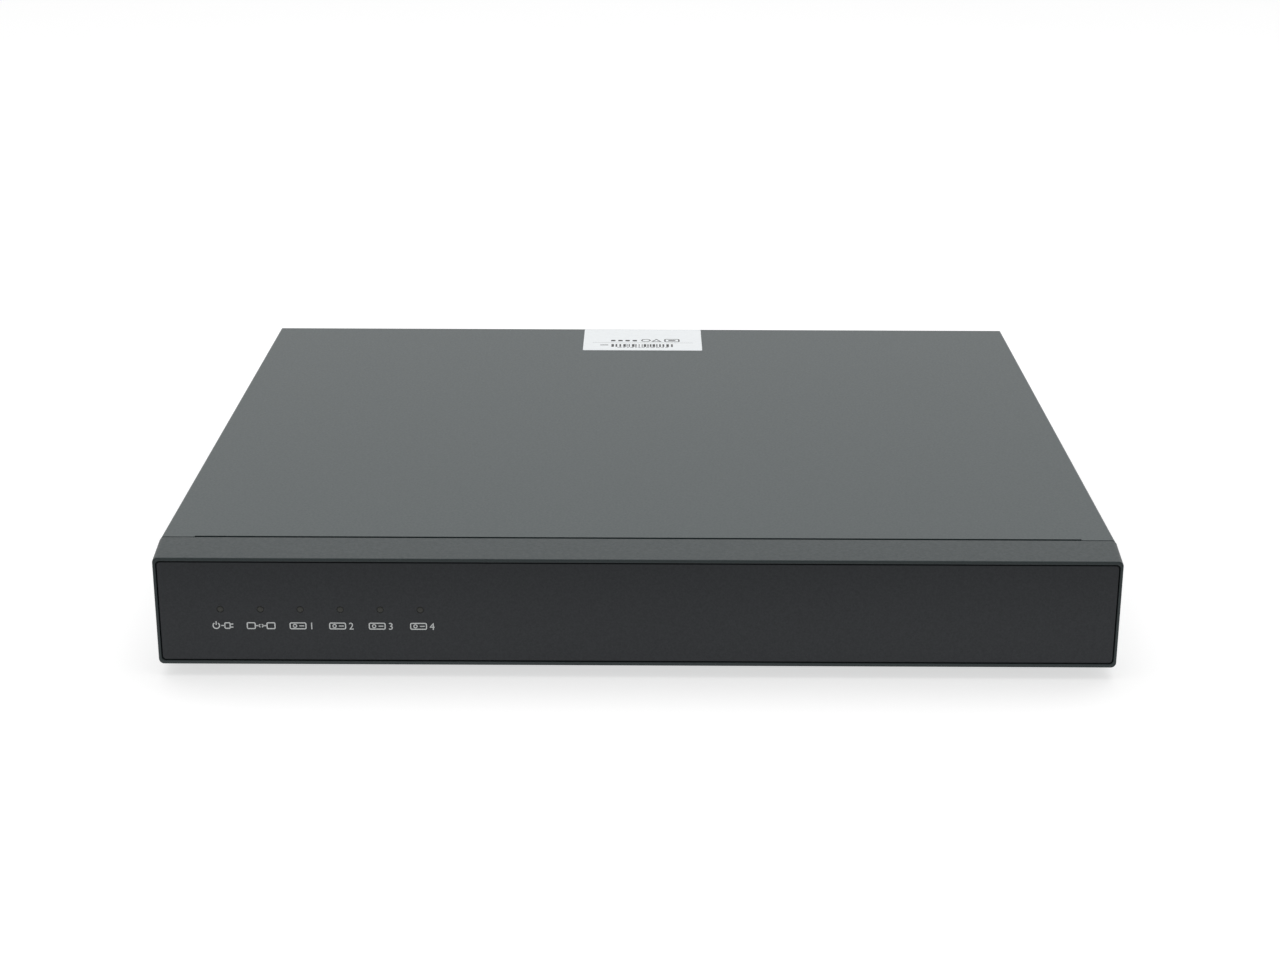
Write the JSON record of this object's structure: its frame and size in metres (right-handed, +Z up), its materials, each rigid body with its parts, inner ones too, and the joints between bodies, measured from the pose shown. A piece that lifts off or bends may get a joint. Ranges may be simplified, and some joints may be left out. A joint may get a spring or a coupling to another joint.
{
  "type": "dvr recorder",
  "caption": "Low, wide video recorder: folded steel case with a plastic bezel and status lights, drives and boards inside, coaxial and other jacks at the rear.",
  "frame": {"origin": "middle of the footprint, on the surface that the feet stand on; the footprint's depth includes the coaxial jacks", "axes": "+X to the right seen from the front, +Y from the front panel to the rear connectors, +Z up"},
  "size_m": [0.4414, 0.4, 0.0582],
  "materials": {
    "cover_paint": "fine textured powder coat, satin",
    "panel_paint": "fine textured powder coat",
    "zinc_steel": "zinc plated sheet",
    "bezel_plastic": "fine spark texture",
    "front_plastic": "smooth satin",
    "light_lens": "translucent, unlit",
    "label_paper": "coated label stock",
    "screw_black": "black oxide",
    "nickel": "nickel plated",
    "rubber": "moulded",
    "lamp_white": "moulded",
    "cast_aluminium": "die cast",
    "lid_steel": "pressed stainless sheet",
    "disk": "polished disk",
    "board_green": "solder mask",
    "board_tan": "bare phenolic board",
    "black_plastic": "moulded",
    "chip_black": "epoxy packages",
    "black_aluminium": "black anodised",
    "plain_aluminium": "sheared plate",
    "can_aluminium": "sleeved cans",
    "supply_cans": "heat shrunk sleeves",
    "winding": "polyester tape and ferrite",
    "brass": "turned",
    "core_white": "turned resin",
    "terminal_green": "moulded",
    "button_red": "moulded",
    "data_red": "flat cable jackets",
    "loom_black": "wire insulation",
    "lead_brown": "wire insulation"
  },
  "bodies": {
    "case": {"base_tray": "zinc_steel", "rear_panel": "panel_paint", "front_bezel": "bezel_plastic", "front_panel": "front_plastic", "light_pipes": "light_lens", "led_board": "board_green", "status_leds": "lamp_white", "rubber_feet": "rubber", "drive_castings": "cast_aluminium", "drive_lids": "lid_steel", "drive_boards": "board_green", "drive_sockets": "black_plastic", "drive_screws": "nickel", "main_board": "board_green", "standoffs": "brass", "machine_screws": "nickel", "board_chips": "chip_black", "soc_heatsink": "black_aluminium", "board_capacitors": "can_aluminium", "coin_cell": "nickel", "board_headers": "black_plastic", "bnc_jacks": "nickel", "bnc_cores": "core_white", "bnc_housings": "black_plastic", "audio_jacks": "black_plastic", "analogue_video_port": "nickel", "digital_video_port": "nickel", "peripheral_ports": "nickel", "external_drive_port": "nickel", "network_port": "nickel", "terminal_header": "terminal_green", "reset_switch": "black_plastic", "ground_screw": "nickel", "psu_board": "board_tan", "psu_transformer": "winding", "psu_capacitors": "supply_cans", "psu_heatsinks": "plain_aluminium", "ac_inlet": "black_plastic", "ac_pins": "nickel", "switch_housing": "black_plastic", "system_fan_frame": "black_plastic", "data_cables": "data_red", "power_loom": "loom_black", "mains_leads": "lead_brown"},
    "cover": {"top_cover": "cover_paint", "cover_label": "label_paper", "cover_screws": "screw_black"},
    "rocker": {"power_rocker": "black_plastic"},
    "reset": {"reset_button": "button_red"},
    "fan": {"system_fan_rotor": "black_plastic"},
    "alarm_plug": {"terminal_plug": "terminal_green", "terminal_screws": "nickel"},
    "disks_1": {"platters_1": "disk"},
    "heads_1": {"head_arms_1": "plain_aluminium"},
    "disks_2": {"platters_2": "disk"},
    "heads_2": {"head_arms_2": "plain_aluminium"},
    "disks_3": {"platters_3": "disk"},
    "heads_3": {"head_arms_3": "plain_aluminium"},
    "disks_4": {"platters_4": "disk"},
    "heads_4": {"head_arms_4": "plain_aluminium"}
  },
  "joints": [
    {"name": "cover_slide", "type": "slide", "parent": "case", "child": "cover", "axis": [0, 1, 0], "range_m": [0, 0.38]},
    {"name": "rocker_tilt", "type": "hinge", "parent": "case", "child": "rocker", "pos_m": [0.147, 0.1858, 0.026], "axis": [1, 0, 0], "range_deg": [0, 20]},
    {"name": "reset_press", "type": "slide", "parent": "case", "child": "reset", "axis": [0, -1, 0], "range_m": [0, 0.0005], "stiffness_N_per_m": 800, "springref_m": -0.0005},
    {"name": "fan_spin", "type": "hinge", "parent": "case", "child": "fan", "pos_m": [0.11, 0.178, 0.0295], "axis": [0, 1, 0], "continuous": true},
    {"name": "alarm_plug_pull", "type": "slide", "parent": "case", "child": "alarm_plug", "axis": [0, 1, 0], "range_m": [0, 0.025]},
    {"name": "disks_1_spin", "type": "hinge", "parent": "case", "child": "disks_1", "pos_m": [-0.1575, -0.108, 0.022], "axis": [0, 0, 1], "continuous": true},
    {"name": "heads_1_swing", "type": "hinge", "parent": "case", "child": "heads_1", "pos_m": [-0.1875, -0.054, 0.022], "axis": [0, 0, -1], "range_deg": [0, 31]},
    {"name": "disks_2_spin", "type": "hinge", "parent": "case", "child": "disks_2", "pos_m": [-0.0525, -0.108, 0.022], "axis": [0, 0, 1], "continuous": true},
    {"name": "heads_2_swing", "type": "hinge", "parent": "case", "child": "heads_2", "pos_m": [-0.0825, -0.054, 0.022], "axis": [0, 0, -1], "range_deg": [0, 31]},
    {"name": "disks_3_spin", "type": "hinge", "parent": "case", "child": "disks_3", "pos_m": [0.0525, -0.108, 0.022], "axis": [0, 0, 1], "continuous": true},
    {"name": "heads_3_swing", "type": "hinge", "parent": "case", "child": "heads_3", "pos_m": [0.0225, -0.054, 0.022], "axis": [0, 0, -1], "range_deg": [0, 31]},
    {"name": "disks_4_spin", "type": "hinge", "parent": "case", "child": "disks_4", "pos_m": [0.1575, -0.108, 0.022], "axis": [0, 0, 1], "continuous": true},
    {"name": "heads_4_swing", "type": "hinge", "parent": "case", "child": "heads_4", "pos_m": [0.1275, -0.054, 0.022], "axis": [0, 0, -1], "range_deg": [0, 31]}
  ]
}
